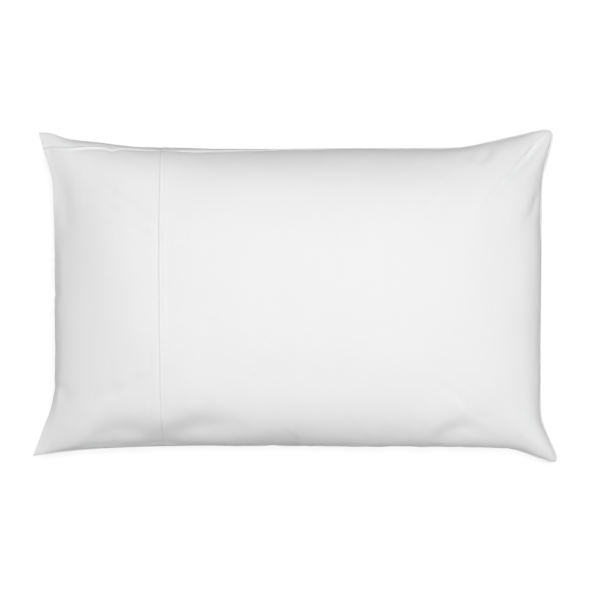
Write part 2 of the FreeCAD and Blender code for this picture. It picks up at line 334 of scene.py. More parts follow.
# ------------------------ case: reading the cloth anywhere
# The front and back grids are joined into one loop round the pillow, so that a panel, a seam or a
# row of stitches can be laid out at any place on the cloth and not only on the grid's own points.
LAST_ROW = case_front.shape[0] - 1
LAST_COLUMN = case_front.shape[1] - 1
ROW_STEP = CASE_CUT[1] / LAST_ROW
COLUMN_STEP = CASE_CUT[0] / LAST_COLUMN


def loop_round(front, back):
    """Rows of the front from its lower seam to its upper one, then of the back down again.

    One column is added at each end, in line with the two beside it.
    """
    loop = np.concatenate([front, back[-2:0:-1]])
    before = 2 * loop[:, :1] - loop[:, 1:2]
    after = 2 * loop[:, -1:] - loop[:, -2:-1]
    return np.concatenate([before, loop, after], axis=1)


def spline_weights(f):
    """Weights of four points in a row, at the fraction f between the middle two (Catmull-Rom)."""
    return (
        0.5 * (-f + 2 * f**2 - f**3),
        0.5 * (2 - 5 * f**2 + 3 * f**3),
        0.5 * (f + 4 * f**2 - 3 * f**3),
        0.5 * (-(f**2) + f**3),
    )


def read_loop(loop, row, column):
    """Points of a loop at fractional rows, which go round, and columns, smooth between points."""
    row, column = np.broadcast_arrays(np.asarray(row, float), np.asarray(column, float))
    first = np.floor(row).astype(int)
    start = np.clip(np.floor(column).astype(int), 0, loop.shape[1] - 4)
    down = spline_weights((row - first)[..., None])
    along = spline_weights((column - start)[..., None])
    found = np.zeros(row.shape + (3,))
    for i, weight_down in enumerate(down):
        for k, weight_along in enumerate(along):
            found = found + weight_down * weight_along * (
                loop[(first + i - 1) % len(loop), start + k]
            )
    return found


def unit(vectors):
    """Vectors scaled to length 1, and left at 0 where they have none."""
    return vectors / np.maximum(np.linalg.norm(vectors, axis=-1, keepdims=True), 1e-9)


def grid_normals(points):
    """Unit normal at each point of a grid: the cross product of its two directions there."""
    return unit(np.cross(np.gradient(points, axis=1), np.gradient(points, axis=0)))


def ramp(value, low, high):
    """0 below low and 1 above high, smooth between them."""
    f = np.clip((value - low) / (high - low), 0.0, 1.0)
    return f * f * (3.0 - 2.0 * f)


def bell(distance, width):
    """1 at distance 0, falling off as exp(-(distance / width) ** 2)."""
    return np.exp(-((distance / width) ** 2))


case_loop = loop_round(case_front, case_back)
UPPER_HALF = LAST_ROW // 2
EAR_ROLL = 0.007


def upper_roll(distance):
    """How far the upper seam lies in from the edge, seen from the front, along the case.

    It is 24 mm at the mouth, where the ear is folded forward, 4 mm by the cuff joint, after a
    small pucker, and nothing past the middle.
    """
    ear = 0.019 * np.exp(-((distance / 0.062) ** 2))
    pucker = 0.003 * bell(distance - 0.118, 0.008)
    return ear + pucker + 0.0045 * (1.0 - ramp(distance, 0.15, 0.45))


def upper_seam_row(column):
    """Row of the upper seam, found where the front lies that far in from its upper edge."""
    rows = np.linspace(UPPER_HALF, LAST_ROW, 161)
    known = np.linspace(0.0, LAST_COLUMN, 249)
    y = read_loop(case_loop, rows[:, None], known[None, :])[..., 1]
    y = np.maximum.accumulate(y, axis=0)
    wanted = y[-1] - upper_roll(known * COLUMN_STEP)
    found = [np.interp(w, line, rows) for w, line in zip(wanted, y.T)]
    return np.interp(column, known, found)


def lower_seam_row(column):
    """Row of the lower seam: 6 mm under the edge in the middle, and on the front at the far ear."""
    u = 2.0 * column / LAST_COLUMN - 1.0
    under = 0.006 * (1.0 - np.abs(u) ** 3)
    over = EAR_ROLL * ramp(u, 0.75, 0.9) * (1.0 - ramp(u, 0.92, 1.0))
    return (over - under) / ROW_STEP


def panel_row(side, t, column):
    """Row of the front or back at t, from 0 at its lower seam to 1 at its upper one."""
    low, high = lower_seam_row(column), upper_seam_row(column)
    if side == "front":
        return low + t * (high - low)
    return low + 2 * LAST_ROW + t * (high - low - 2 * LAST_ROW)


CUFF_JOINT_X = -0.188


def joint_column(side, t):
    """Column where the cuff meets the panel, at one x all the way across."""
    columns = np.linspace(0.12, 0.36, 60) * LAST_COLUMN
    rows = panel_row(side, t[:, None], columns[None, :])
    x = read_loop(case_loop, rows, np.broadcast_to(columns, rows.shape))[..., 0]
    return np.array([np.interp(CUFF_JOINT_X, line, columns) for line in x])


def graded(length, step, fine, low, high):
    """Places from 0 to 1 along a length: fine at graded ends, each gap a third more up to step."""
    gaps = [fine]
    while gaps[-1] < step:
        gaps.append(gaps[-1] * 1.33)
    run = np.cumsum([0.0] + gaps[:-1])
    start = run if low else np.array([0.0])
    stop = length - run[::-1] if high else np.array([length])
    count = max(2, int((stop[0] - start[-1]) / step))
    middle = np.linspace(start[-1], stop[0], count + 1)[1:-1]
    return np.concatenate([start, middle, stop]) / length


# ------------------------ case: how the cloth lies
# A turned seam stands up as a ridge with a soft hollow beside it, and the cloth puckers where the
# thread pulls.  Washed cotton over loose filling is also slightly uneven all over, and the filling
# leaves a few soft folds that run in from the corners and the lower edge.


def waves(first, second, shortest, longest, count, seed):
    """Sum of count sine waves over two distances, of seeded direction, length and phase."""
    draw = np.random.default_rng(seed)
    total = np.zeros(np.broadcast(first, second).shape)
    for _ in range(count):
        turn, phase = draw.uniform(0.0, 2.0 * np.pi, 2)
        number = 2.0 * np.pi / draw.uniform(shortest, longest)
        total += np.sin(number * (first * np.cos(turn) + second * np.sin(turn)) + phase)
    return total / np.sqrt(count)


def fold(points, corner, start, stop, depth, width, roll=0.4):
    """Depth of one soft fold, from start to stop, both (x, y) measured inwards from a corner.

    Across its line it is a bell, with a low roll of cloth on each side, and it dies away at both
    ends, deepest at a third of its length.  The corner is named by the signs of its x and y.
    """
    tip = np.where(np.array(corner) > 0, cad_high[:2], cad_low[:2])
    begin = tip - np.array(corner) * np.array(start)
    line = np.array(corner) * (np.array(start) - np.array(stop))
    length = np.hypot(*line)
    way = line / length
    offset = points[..., :2] - begin
    along = offset @ way / length
    across = np.abs(offset @ np.array([-way[1], way[0]]) - 0.6 * width * np.sin(3.0 * along))
    fade = ramp(along, -0.25, 0.3) * (1.0 - ramp(along, 0.4, 1.15))
    return depth * fade * (bell(across, width) - roll * bell(across - 2.0 * width, width))


def front_folds(points):
    """Depth of all the folds of the front, sharp by the upper corner and broad along the bottom."""
    return (
        fold(points, (1, 1), (0.022, 0.012), (0.070, 0.068), 0.0036, 0.0090, 0.0)
        + fold(points, (1, 1), (0.027, 0.096), (0.049, 0.138), 0.0030, 0.0070, 0.1)
        + fold(points, (1, 1), (0.092, 0.021), (0.117, 0.050), 0.0032, 0.0065, 0.2)
        + fold(points, (1, 1), (0.119, 0.030), (0.135, 0.046), 0.0018, 0.0055, 0.2)
        + fold(points, (1, -1), (0.175, 0.030), (0.100, 0.052), 0.0040, 0.0150, 0.1)
        + fold(points, (-1, -1), (0.076, 0.026), (0.195, 0.033), 0.0080, 0.0235, 0.0)
        + fold(points, (-1, -1), (0.175, 0.026), (0.310, 0.052), 0.0070, 0.0200, 0.0)
        + fold(points, (-1, -1), (0.031, 0.112), (0.049, 0.087), 0.0018, 0.0100, 0.1)
        + fold(points, (-1, 1), (0.036, 0.074), (0.049, 0.153), 0.0018, 0.0120, 0.1)
    )


SEAM_RIDGE = 1.1 * MILLIMETRE
SEAM_HOLLOW = 0.9 * MILLIMETRE
TURNED_UNDER = 7.0 * MILLIMETRE
TOPSTITCH_LINE = 4.6 * MILLIMETRE
TUCK = 4.0 * MILLIMETRE
JOINT_LEAST = 0.25
JOINT_MORE = 1.05


def joint_lift(distance, part):
    """Height of the cloth beside the cuff joint, at a distance from it.

    The panel's edge is turned under and stands up by its doubled cloth, and its row of stitches
    pulls a groove into it.  The cuff dips into the joint and runs on beneath the panel, and the
    edge of its inside layer shows through 10 mm back.
    """
    if part == "cuff":
        dip = -0.9 * MILLIMETRE * np.exp(-np.maximum(distance, 0.0) / (1.5 * MILLIMETRE))
        return dip + 0.2 * MILLIMETRE * bell(distance - 0.010, 0.0022)
    turned = 0.7 * MILLIMETRE * (1.0 - ramp(distance, TURNED_UNDER, TURNED_UNDER + 0.004))
    rounded = 0.4 * MILLIMETRE * np.exp(-distance / (0.5 * MILLIMETRE))
    groove = 0.5 * MILLIMETRE * bell(distance - TOPSTITCH_LINE, 0.0009)
    return turned - rounded - groove


def seam_directions(row, column):
    """Direction in which the cloth's seam stands up, at a row and column of the case."""
    before = read_loop(case_loop, row - 1.5, column)
    after = read_loop(case_loop, row + 1.5, column)
    along = read_loop(case_loop, row, column + 0.5) - read_loop(case_loop, row, column - 0.5)
    bulge = (read_loop(case_loop, row, column) - 0.5 * (before + after)) / (3.0 * ROW_STEP)
    return unit(bulge + 0.5 * unit(np.cross(along, after - before)))


def end_directions(row):
    """Direction in which the seam of the sewn end stands up, at each row."""
    here = read_loop(case_loop, row, LAST_COLUMN + 0.0 * row)
    one = read_loop(case_loop, row, LAST_COLUMN - 1.5 + 0.0 * row)
    other = read_loop(case_loop, 2 * LAST_ROW - row, LAST_COLUMN - 1.5 + 0.0 * row)
    return unit(here - 0.5 * (one + other))


def laid_cloth(side, part, s, t):
    """(points, outward normals, distance along, distance across) of one side's cuff or panel.

    s runs along it from 0 to 1 and t across it, as columns.  The cloth is read off the loop and
    lifted along its normals, and is drawn out at each seam, where front and back still meet.  The
    front's cuff joint stands out least by the lower seam and most from the middle upwards.
    """
    joint = joint_column(side, t[:, 0])[:, None]
    if part == "cuff":
        column = s * (joint + TUCK / COLUMN_STEP)
    else:
        column = joint + s * (LAST_COLUMN - joint)
    row = panel_row(side, t, column)
    points = read_loop(case_loop, row, column)
    normal = grid_normals(points)
    if side == "back":
        normal = -normal
    from_lower = np.abs(row - panel_row(side, 0.0, column)) * ROW_STEP
    from_upper = np.abs(row - panel_row(side, 1.0, column)) * ROW_STEP
    from_end = (LAST_COLUMN - column) * COLUMN_STEP
    from_mouth = column * COLUMN_STEP
    from_joint = (column - joint) * COLUMN_STEP * (-1.0 if part == "cuff" else 1.0)
    near_seam = np.minimum(from_lower, from_upper)
    at_seam = np.minimum(near_seam, from_end)

    seed = 30 if side == "front" else 60
    lift = 0.7 * MILLIMETRE * waves(from_mouth, from_lower, 0.07, 0.16, 9, seed)
    lift += 0.16 * MILLIMETRE * waves(from_mouth, from_lower, 0.018, 0.040, 12, seed + 1)
    pucker = waves(from_mouth, 0.0, 0.011, 0.026, 7, seed + 2)
    lift += 0.5 * MILLIMETRE * pucker * np.exp(-near_seam / 0.009) * ramp(near_seam, 0.0, 0.003)
    pucker = waves(from_lower, 0.0, 0.012, 0.030, 7, seed + 3)
    lift += 0.5 * MILLIMETRE * pucker * np.exp(-from_end / 0.009) * ramp(from_end, 0.0, 0.003)
    lift -= SEAM_HOLLOW * bell(at_seam - 0.004, 0.0022)
    if side == "front":
        lift -= front_folds(points) * ramp(at_seam, 0.002, 0.022)
    lift *= ramp(at_seam, 0.0, 0.002)
    pulled_open = 1.0
    if side == "front":
        pulled_open = JOINT_LEAST + JOINT_MORE * ramp(from_lower, 0.03, 0.26)
    lift += joint_lift(from_joint, part) * pulled_open * ramp(at_seam, 0.0, 0.004)
    points = points + normal * lift[..., None]

    tucked = 1.0 - 0.5 * ramp(-from_joint, 0.0, 0.5 * TUCK)
    for seam_row, distance in ((upper_seam_row, from_upper), (lower_seam_row, from_lower)):
        stand = SEAM_RIDGE * tucked * bell(distance, 0.0016)
        points = points + stand[..., None] * seam_directions(seam_row(column), column)
    if part == "panel":
        stand = SEAM_RIDGE * bell(from_end, 0.0016)
        points = points + stand[..., None] * end_directions(row)
    points[..., 2] = np.maximum(points[..., 2], FLOOR_TOUCH)
    return points, normal, from_mouth, from_lower


def shell_between(name, outer, inner, bend=(), back=False):
    """Closed piece between two grids, outer facing up unless it is a back, with four rims.

    bend holds columns of points that go round the first edge from inner to outer, where a cloth
    is folded over and has no cut edge.
    """
    half = outer.shape[1]
    rings = np.concatenate([outer, inner[:, ::-1]] + [column[:, None] for column in bend], axis=1)
    numbers = np.arange(rings.shape[0] * rings.shape[1]).reshape(rings.shape[:2])
    faces = [quads(np.concatenate([numbers, numbers[:, :1]], axis=1), flip=back)]
    for ring, flip in ((numbers[0], not back), (numbers[-1], back)):
        faces.append(quads(np.stack([ring[:half], ring[half:2 * half][::-1]]), flip=flip))
        if len(bend):
            round_end = ring[2 * half:]
            reach = len(bend) // 2
            one = np.concatenate([ring[:1], round_end[::-1][:reach]])
            other = np.concatenate([ring[2 * half - 1:2 * half], round_end[:reach]])
            faces.append(quads(np.stack([one, other]), flip=not flip))
    return mesh_object(name, rings, np.concatenate(faces))


def flat_places(along, across, bends=0):
    """(along, across) of every point of a shell_between, for its map of the flat cloth."""
    columns = [along, along[:, ::-1]] + [along[:, :1]] * bends
    rows = [across, across[:, ::-1]] + [across[:, :1]] * bends
    return np.stack([np.concatenate(columns, axis=1), np.concatenate(rows, axis=1)], axis=-1)


def map_flat(piece, places):
    """Gives a piece the UV map "cut": where each point lies on the flat cloth, in metres."""
    corners = np.empty(len(piece.data.loops), np.int32)
    piece.data.loops.foreach_get("vertex_index", corners)
    layer = piece.data.uv_layers.new(name="cut")
    flat = np.ascontiguousarray(places.reshape(-1, 2)[corners], np.float32)
    layer.data.foreach_set("uv", flat.ravel())


# ------------------------ case: front and back panels
# White percale, one layer 0.45 mm thick.  Each panel is sewn to a cuff along one short edge, to
# the other panel along both long edges and the far end, and turned right side out.


def wire(tree, *pairs):
    """Links each (output, input) pair of a node tree."""
    for output, socket in pairs:
        tree.links.new(output, socket)


def weave_group():
    """Node group of woven cloth: Height, and Shade, a painted shade that is light where threads and
    slubs stand up and dark between threads, from the place on the flat cloth, in metres.

    Threads a pitch apart go over and under each other, one by one, or stepped along diagonals
    where Twill is 1.  Slubs are stretches of thicker thread, both ways of the cloth, and the
    crumple is the shallow unevenness of washed cotton.
    """
    tree = bpy.data.node_groups.new("woven_cloth", "ShaderNodeTree")
    place = tree.interface.new_socket("Place", in_out="INPUT", socket_type="NodeSocketVector")
    place.hide_value = True
    for name, value in (("Pitch", 0.0004), ("Twill", 0.0), ("Slub", 0.3), ("Crumple", 1.0)):
        socket = tree.interface.new_socket(name, in_out="INPUT", socket_type="NodeSocketFloat")
        socket.default_value = value
    for name in ("Height", "Shade"):
        tree.interface.new_socket(name, in_out="OUTPUT", socket_type="NodeSocketFloat")
    given = tree.nodes.new("NodeGroupInput")
    result = tree.nodes.new("NodeGroupOutput")

    def calculate(operation, first, second=None):
        """A Math node on outputs or plain numbers; gives its output."""
        node = tree.nodes.new("ShaderNodeMath")
        node.operation = operation
        for socket, value in zip(node.inputs, (first, second)):
            if isinstance(value, (int, float)):
                socket.default_value = value
            elif value is not None:
                tree.links.new(value, socket)
        return node.outputs[0]

    def unevenness(stretch, scale, detail):
        """A Noise node on the place, stretched by (along, across); gives its value."""
        mapping = tree.nodes.new("ShaderNodeMapping")
        mapping.inputs["Scale"].default_value = (stretch[0], stretch[1], 1.0)
        noise = tree.nodes.new("ShaderNodeTexNoise")
        noise.inputs["Scale"].default_value = scale
        noise.inputs["Detail"].default_value = detail
        wire(tree, (given.outputs["Place"], mapping.inputs["Vector"]),
             (mapping.outputs["Vector"], noise.inputs["Vector"]))
        return noise.outputs["Fac"]

    split = tree.nodes.new("ShaderNodeSeparateXYZ")
    wire(tree, (given.outputs["Place"], split.inputs[0]))
    turn = calculate("DIVIDE", math.pi, given.outputs["Pitch"])
    warp_at = calculate("MULTIPLY", split.outputs["X"], turn)
    weft_at = calculate("MULTIPLY", split.outputs["Y"], turn)
    warp = calculate("SINE", warp_at)
    weft = calculate("SINE", weft_at)
    plain = calculate("MULTIPLY", warp, weft)
    diagonal = calculate("SINE", calculate("MULTIPLY", calculate("ADD", warp_at, weft_at), 0.5))
    over = tree.nodes.new("ShaderNodeMix")
    wire(tree, (given.outputs["Twill"], over.inputs["Factor"]), (plain, over.inputs["A"]),
         (diagonal, over.inputs["B"]))
    up = calculate("ADD", calculate("MULTIPLY", over.outputs["Result"], 0.5), 0.5)
    down = calculate("SUBTRACT", 1.0, up)
    threads = calculate(
        "MAXIMUM",
        calculate("MULTIPLY", calculate("ABSOLUTE", warp), up),
        calculate("MULTIPLY", calculate("ABSOLUTE", weft), down),
    )
    slubs = calculate("ADD", unevenness((0.06, 1.0), 1400.0, 2.0),
                      unevenness((1.0, 0.06), 1400.0, 2.0))
    slubs = calculate("MULTIPLY", calculate("SUBTRACT", slubs, 1.0), given.outputs["Slub"])
    crumple = calculate("SUBTRACT", unevenness((1.0, 1.0), 55.0, 3.0), 0.5)
    crumple = calculate("MULTIPLY", crumple, given.outputs["Crumple"])
    height = calculate("ADD", calculate("MULTIPLY", threads, 0.35), slubs)
    wire(tree, (calculate("ADD", height, crumple), result.inputs["Height"]))
    # Shade paints shade into the colour: it follows the height of threads and slubs, darker in the
    # gaps between threads.
    shade = calculate("ADD", calculate("MULTIPLY", threads, 0.4), calculate("MULTIPLY", slubs, 1.5))
    wire(tree, (calculate("ADD", shade, 0.35), result.inputs["Shade"]))
    return tree


WOVEN = weave_group()


def woven_material(name, light, shaded, pitch, twill=0.0, slub=0.3, crumple=1.0, relief=0.06,
                   sheen=0.1):
    """A woven cloth: its own colour on the threads and the shaded colour, painted shade, between
    them where the relief dips; relief in millimetres.
    """
    material = bpy.data.materials.new(name)
    material.use_nodes = True
    tree = material.node_tree
    shader = tree.nodes["Principled BSDF"]
    shader.inputs["Roughness"].default_value = 0.88
    shader.inputs["Sheen Weight"].default_value = sheen
    shader.inputs["Sheen Roughness"].default_value = 0.45
    shader.inputs["Specular IOR Level"].default_value = 0.25
    cut = tree.nodes.new("ShaderNodeUVMap")
    cut.uv_map = "cut"
    weave = tree.nodes.new("ShaderNodeGroup")
    weave.node_tree = WOVEN
    for socket, value in (("Pitch", pitch), ("Twill", twill), ("Slub", slub), ("Crumple", crumple)):
        weave.inputs[socket].default_value = value
    colour = tree.nodes.new("ShaderNodeMix")
    colour.data_type = "RGBA"
    # Painted shade: the shaded colour goes where the weave's Shade is low, between the threads.
    colour.inputs[6].default_value = (*shaded, 1.0)
    colour.inputs[7].default_value = (*light, 1.0)
    bump = tree.nodes.new("ShaderNodeBump")
    bump.inputs["Strength"].default_value = 0.5
    bump.inputs["Distance"].default_value = relief * MILLIMETRE
    wire(tree, (cut.outputs["UV"], weave.inputs["Place"]),
         (weave.outputs["Shade"], colour.inputs["Factor"]),
         (colour.outputs[2], shader.inputs["Base Color"]),
         (weave.outputs["Height"], bump.inputs["Height"]),
         (bump.outputs["Normal"], shader.inputs["Normal"]))
    return material


PANEL_CLOTH = 0.45 * MILLIMETRE
WHITE = (0.90, 0.90, 0.905)
# Painted shade between the threads of the white percale, not a colour of the cotton.
SHADE_BETWEEN_THREADS = (0.84, 0.84, 0.85)
THREAD_PITCH = 0.00032
percale = woven_material("white_percale", WHITE, SHADE_BETWEEN_THREADS, THREAD_PITCH, relief=0.10)


def finish_case_piece(piece, material, slot, *nodes):
    """The case's pieces take their material, ride on the case and hide their parts; slot is not
    used.
    """
    piece.data.materials.append(material)
    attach(piece, "case")
    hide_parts(*nodes)
    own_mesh(piece)


def inside_of(points, normal, cloth):
    """The inner face of a cloth of that thickness, kept half of it above what it rests on."""
    inner = points - normal * cloth
    inner[..., 2] = np.maximum(inner[..., 2], FLOOR_TOUCH + 0.5 * cloth)
    return inner


panel_along = graded(0.56, 0.0031, 0.0007, True, True)
panel_across = graded(0.49, 0.0031, 0.0007, True, True)
for side in ("front", "back"):
    s, t = np.meshgrid(panel_along, panel_across)
    points, normal, along, across = laid_cloth(side, "panel", s, t)
    inner = inside_of(points, normal, PANEL_CLOTH)
    name = f"{side}_panel"
    panel = shell_between(name, points, inner, back=side == "back")
    map_flat(panel, flat_places(along, across))
    finish_case_piece(panel, percale, "case_cotton", f"case_{side}_panel")


# ------------------------ case: cuffs at the mouth
# The same percale, a band folded double along the mouth and sewn to the panels with its edges
# inside.  Front and back cuff are joined only at the side seams, so that the mouth stays open.
CUFF_CLOTH = 1.0 * MILLIMETRE
FOLD_STEPS = 4
cuff_percale = woven_material("double_percale", WHITE, SHADE_BETWEEN_THREADS, THREAD_PITCH, relief=0.10)


def folded_edge(outer, inner, steps):
    """Columns of points that go round the first edge of a folded cloth, as a half circle."""
    middle = 0.5 * (outer[:, 0] + inner[:, 0])
    spoke = outer[:, 0] - middle
    away = unit(outer[:, 0] - outer[:, 2]) * np.linalg.norm(spoke, axis=-1, keepdims=True)
    angles = np.pi * np.arange(1, steps + 1) / (steps + 1)
    return [middle - spoke * np.cos(angle) + away * np.sin(angle) for angle in angles]


cuff_along = graded(0.165, 0.0029, 0.0007, False, True)
for side in ("front", "back"):
    s, t = np.meshgrid(cuff_along, panel_across)
    points, normal, along, across = laid_cloth(side, "cuff", s, t)
    inner = inside_of(points, normal, CUFF_CLOTH)
    bend = folded_edge(points, inner, FOLD_STEPS)
    cuff = shell_between(f"{side}_cuff", points, inner, bend, back=side == "back")
    map_flat(cuff, flat_places(along, across, FOLD_STEPS))
    finish_case_piece(cuff, cuff_percale, "cuff_cotton", f"cuff_{side}")


# ------------------------ case: topstitching by the cuffs
# A lockstitch in white polyester thread, near eight stitches to the inch, that holds the
# turned-under edge of each panel down beside the cuff.
STITCH_LENGTH = 2.6 * MILLIMETRE
STITCH_GAP = 0.7 * MILLIMETRE
THREAD = 0.2 * MILLIMETRE
STITCH_RINGS = 7
STITCH_SIDES = 6


def thread_row(name, path, up):
    """One mesh of stitches laid end to end along a path, with its normals up.

    A stitch is a rod of six sides, a thread's radius thick in the middle, whose ends sink into
    the cloth: a share a of half its length from the middle it has sunk by a ** 4 of its height.
    """
    length = running_length(path)
    count = int(length[-1] / (STITCH_LENGTH + STITCH_GAP))
    middles = (np.arange(count) + 0.5) * length[-1] / count
    share = np.linspace(-1.0, 1.0, STITCH_RINGS)
    at = middles[:, None] + share * STITCH_LENGTH / 2
    centre = np.stack([np.interp(at, length, path[:, k]) for k in range(3)], axis=-1)
    lifted = unit(np.stack([np.interp(at, length, up[:, k]) for k in range(3)], axis=-1))
    way = unit(np.gradient(centre, axis=1))
    beside = np.cross(way, lifted)
    thick = THREAD * (1.0 - 0.55 * np.abs(share) ** 3)[:, None, None]
    height = 0.9 * THREAD * (1.0 - 1.4 * share**4)[:, None]
    angle = 2.0 * np.pi * np.arange(STITCH_SIDES) / STITCH_SIDES
    centre = centre + lifted * height
    rings = centre[..., None, :] + thick * (
        np.cos(angle)[:, None] * beside[..., None, :]
        + np.sin(angle)[:, None] * lifted[..., None, :]
    )
    one = np.arange(STITCH_RINGS * STITCH_SIDES).reshape(STITCH_RINGS, STITCH_SIDES)
    wall = quads(np.concatenate([one, one[:, :1]], axis=1), flip=True)
    first, last = one[0], one[-1]
    caps = np.array([first[[0, 3, 2, 1]], first[[0, 5, 4, 3]],
                     last[[0, 1, 2, 3]], last[[0, 3, 4, 5]]])
    stitch = np.concatenate([wall, caps[:, ::-1]])
    faces = (stitch + np.arange(count)[:, None, None] * one.size).reshape(-1, 4)
    row = mesh_object(name, rings, faces)
    turns = np.broadcast_to(np.arange(STITCH_SIDES) * THREAD, rings.shape[:-1])
    map_flat(row, np.stack([np.broadcast_to(at[..., None], turns.shape), turns], axis=-1))
    return row


# The second colour is painted shade between the threads.
thread = woven_material("sewing_thread", (0.93, 0.93, 0.93), (0.80, 0.80, 0.81), 0.0003, twill=1.0,
                        slub=0.1, crumple=0.0, relief=0.05, sheen=0.2)
for side in ("front", "back"):
    t = np.linspace(0.012, 0.988, 900)[:, None]
    joint = joint_column(side, t[:, 0])[:, None]
    beside = TOPSTITCH_LINE + np.array([[-0.8, 0.0, 0.8]]) * MILLIMETRE
    s = beside / ((LAST_COLUMN - joint) * COLUMN_STEP)
    points, normal, along, across = laid_cloth(side, "panel", s, np.broadcast_to(t, s.shape))
    stitches = thread_row(f"{side}_topstitching", points[:, 1], normal[:, 1])
    finish_case_piece(stitches, thread, "sewing_thread", f"cuff_topstitch_{side}")


# ------------------------ case: turned-in seams
# Inside the case each seam's two cut edges are overlocked together and lie against the back.
OVERLOCKED = 1.2 * MILLIMETRE
INSIDE = 1.1 * MILLIMETRE
# The second colour is painted shade between the threads.
overlock = woven_material("overlocked_edge", (0.90, 0.90, 0.90), (0.78, 0.78, 0.79), 0.0012,
                          twill=1.0, crumple=0.0, relief=0.3)


def seam_strip(name, row, column, along, across, node):
    """A turned-in seam over rows and columns of the back, offset to the inside of the cloth."""
    points = read_loop(case_loop, row, column)
    down = read_loop(case_loop, row + 0.4, column) - read_loop(case_loop, row - 0.4, column)
    end = np.clip(column, 0.4, LAST_COLUMN - 0.4)
    level = read_loop(case_loop, row, end + 0.4) - read_loop(case_loop, row, end - 0.4)
    normal = unit(np.cross(level, down))
    outer = points - normal * INSIDE
    inner = outer - normal * (OVERLOCKED + 0.2 * MILLIMETRE * np.sin(along / 0.0011))[..., None]
    turned = np.cross(np.gradient(outer, axis=1), np.gradient(outer, axis=0))
    strip = shell_between(name, outer, inner, back=float((turned * normal).sum()) < 0)
    map_flat(strip, flat_places(along, across))
    finish_case_piece(strip, overlock, "case_cotton", node)


depth = np.linspace(0.5, 8.5, 6) * MILLIMETRE
for name, seam_row, sense in (("upper", upper_seam_row, 1.0), ("lower", lower_seam_row, -1.0)):
    column, inset = np.meshgrid(np.linspace(4.0, LAST_COLUMN - 4.0, 360), depth)
    row = seam_row(column) + sense * inset / ROW_STEP
    seam_strip(f"{name}_side_seam", row, column, column * COLUMN_STEP, inset, f"side_seam_{name}")

inset, row = np.meshgrid(depth, np.linspace(LAST_ROW + 4.0, 2 * LAST_ROW - 4.0, 240))
column = LAST_COLUMN - inset / COLUMN_STEP
seam_strip("end_seam_allowance", row, column, row * ROW_STEP, inset, "end_seam")


# ------------------------ labels
# Blank woven tape, folded once and sewn into a seam by its cut ends.
TAPE = 0.25 * MILLIMETRE
# The second colour is painted shade between the threads.
tape = woven_material("label_tape", (0.88, 0.88, 0.87), (0.74, 0.74, 0.73), 0.0004, twill=1.0,
                      slub=0.15, crumple=0.2, relief=0.08, sheen=0.3)


def folded_label(name, root, way, side_way, up, width, drop, lean):
    """A tape that goes out from root along way by drop, turns over a small fold and comes back.

    Across its length it is a hairpin 1 mm open at the fold; lean bends it towards up with the
    square of the distance from the seam.
    """
    share = np.linspace(0.0, 1.0, 25)
    turn = np.clip((share - 0.42) / 0.16, 0.0, 1.0) * np.pi
    reach = np.where(share < 0.5, np.minimum(share, 0.42), np.minimum(1.0 - share, 0.42)) / 0.42
    fold_size = 0.5 * MILLIMETRE
    out = drop * reach + fold_size * np.sin(turn)
    height = fold_size * np.cos(turn) * ramp(reach, 0.0, 0.3) + lean * reach**2
    across = np.linspace(-0.5, 0.5, 9) * width
    cup = 0.3 * MILLIMETRE * (across / width * 2.0) ** 2
    grid = (root + out[:, None, None] * way + across[:, None] * side_way
            + (height[:, None] + cup * reach[:, None])[..., None] * up)
    normal = grid_normals(grid)
    piece = shell_between(name, grid, grid - normal * TAPE)
    places = np.meshgrid(across, share * 2.0 * drop)
    map_flat(piece, flat_places(*places))
    piece.data.materials.append(tape)
    return piece


case_label_low, case_label_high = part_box("case_label")
label_middle = 0.5 * (case_label_low + case_label_high)
halfway = 0.5 * (case_front + case_back)
near = np.hypot(halfway[..., 0] - label_middle[0], halfway[..., 1] - label_middle[1]) < 0.025
flat_fit = np.column_stack([np.ones(near.sum()), halfway[near][:, :2] - label_middle[:2]])
height, along_slope, across_slope = np.linalg.lstsq(flat_fit, halfway[near][:, 2], rcond=None)[0]
label_drop = case_label_high[1] - case_label_low[1]
case_label = folded_label(
    "case_label_tape",
    np.array([label_middle[0], case_label_low[1], height - 0.5 * label_drop * across_slope]),
    unit(np.array([0.0, 1.0, across_slope])),
    unit(np.array([1.0, 0.0, along_slope])),
    unit(np.array([-along_slope, -across_slope, 1.0])),
    case_label_high[0] - case_label_low[0],
    label_drop,
    0.0,
)
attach(case_label, "case")
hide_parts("case_label")
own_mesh(case_label)

insert_label_low, insert_label_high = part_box("insert_label")
label_middle = 0.5 * (insert_label_low + insert_label_high)
insert_label = folded_label(
    "insert_label_tape",
    np.array([insert_label_high[0], label_middle[1], label_middle[2]]),
    np.array([-1.0, 0.0, 0.0]), np.array([0.0, 1.0, 0.0]), np.array([0.0, 0.0, 1.0]),
    insert_label_high[1] - insert_label_low[1], insert_label_high[0] - insert_label_low[0],
    -1.5 * MILLIMETRE,
)
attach(insert_label, "insert")
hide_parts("insert_label")


# ------------------------ pillow inside: ticking
# A pillow of its own in cotton twill, sewn all round over a piping cord, with soft puckers at the
# seam.  It is a little smaller than the case, so that it slides in and out of the mouth.
ticking_low, ticking_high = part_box("ticking_top")
INSERT_REACH = 0.009
INSERT_REST = 0.0036
TICKING_CUT = (0.690, 0.462)


def insert_edges(u, v):
    """The four edges of the pillow inside, which run out 9 mm into its corners."""
    long_way = flare(v, INSERT_REACH, INSERT_REACH, 5, 5)
    wide_way = flare(u, INSERT_REACH, INSERT_REACH, 5, 5)
    low_x = ticking_low[0] + INSERT_REACH - long_way
    high_x = ticking_high[0] - INSERT_REACH + long_way
    high_y = ticking_high[1] - INSERT_REACH + wide_way
    return low_x, high_x, high_y, -high_y


